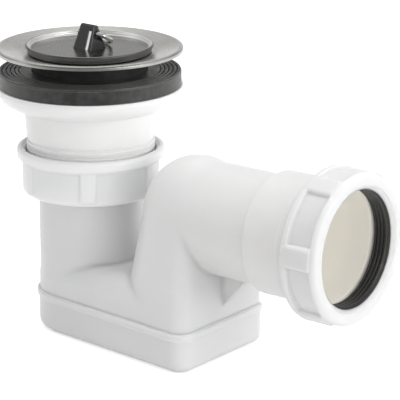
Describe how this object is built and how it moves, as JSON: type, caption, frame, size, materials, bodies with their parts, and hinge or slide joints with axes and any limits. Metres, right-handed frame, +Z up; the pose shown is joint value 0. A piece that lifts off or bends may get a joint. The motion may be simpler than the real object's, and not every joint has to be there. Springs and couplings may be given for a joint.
{
  "type": "shower tray waste",
  "caption": "Shower tray waste with a pressed flange, a lift-out plug, a union nut and a low trap with a horizontal compression outlet.",
  "frame": {"origin": "on the waste's vertical axis, at the lower edge of the flange's rim, where it seats on the tray", "axes": "+X along the outlet, away from the waste; +Z up, out of the tray; +Y completes the right-handed frame"},
  "size_m": [0.1586, 0.07, 0.117],
  "materials": {
    "stainless": "satin",
    "white_moulding": "satin",
    "black_rubber": "matt",
    "plug_rubber": "glossy",
    "grey_foam": "matt",
    "black_slip": "smooth",
    "brass": "turned"
  },
  "bodies": {
    "trap": {"trap_body": "white_moulding", "base_cap": "white_moulding", "outlet_seal": "black_rubber"},
    "union_nut": {"union_nut": "white_moulding"},
    "union_seal": {"union_seal": "black_rubber"},
    "waste": {"waste_flange": "stainless", "flange_gasket": "grey_foam", "tray_sleeve": "black_rubber", "ribbed_washer": "black_rubber", "upper_body": "white_moulding", "threaded_insert": "brass", "fixing_screw": "stainless"},
    "plug": {"plug_body": "plug_rubber", "plug_cap": "stainless"},
    "plug_ring": {"plug_ring": "stainless"},
    "slip_ring": {"slip_ring": "black_slip"},
    "outlet_nut": {"outlet_nut": "white_moulding"}
  },
  "joints": [
    {"name": "union_nut_turn", "type": "hinge", "parent": "trap", "child": "union_nut", "pos_m": [0, 0, -0.045], "axis": [0, 0, -1], "range_deg": [0, 1081]},
    {"name": "union_travel", "type": "slide", "parent": "trap", "child": "union_seal", "axis": [0, 0, 1], "range_m": [0, 0.0075]},
    {"name": "waste_swivel", "type": "hinge", "parent": "union_seal", "child": "waste", "pos_m": [0, 0, -0.045], "axis": [0, 0, 1], "continuous": true},
    {"name": "plug_lift", "type": "slide", "parent": "waste", "child": "plug", "axis": [0, 0, 1], "range_m": [0, 0.014]},
    {"name": "plug_ring_swing", "type": "hinge", "parent": "plug", "child": "plug_ring", "pos_m": [0, 0, 0.0065], "axis": [0.9997, -0.0262, 0], "range_deg": [0, 123]},
    {"name": "outlet_travel", "type": "slide", "parent": "trap", "child": "slip_ring", "axis": [1, 0, 0], "range_m": [0, 0.0051]},
    {"name": "outlet_nut_turn", "type": "hinge", "parent": "slip_ring", "child": "outlet_nut", "pos_m": [0.115, 0, -0.0538], "axis": [1, 0, 0], "range_deg": [0, 720]}
  ],
  "couplings": [
    {"joint": "union_nut_turn", "follows": "union_travel", "rad_per_m": 2513.3},
    {"joint": "outlet_travel", "follows": "outlet_nut_turn", "m_per_rad": 0.00039789}
  ]
}
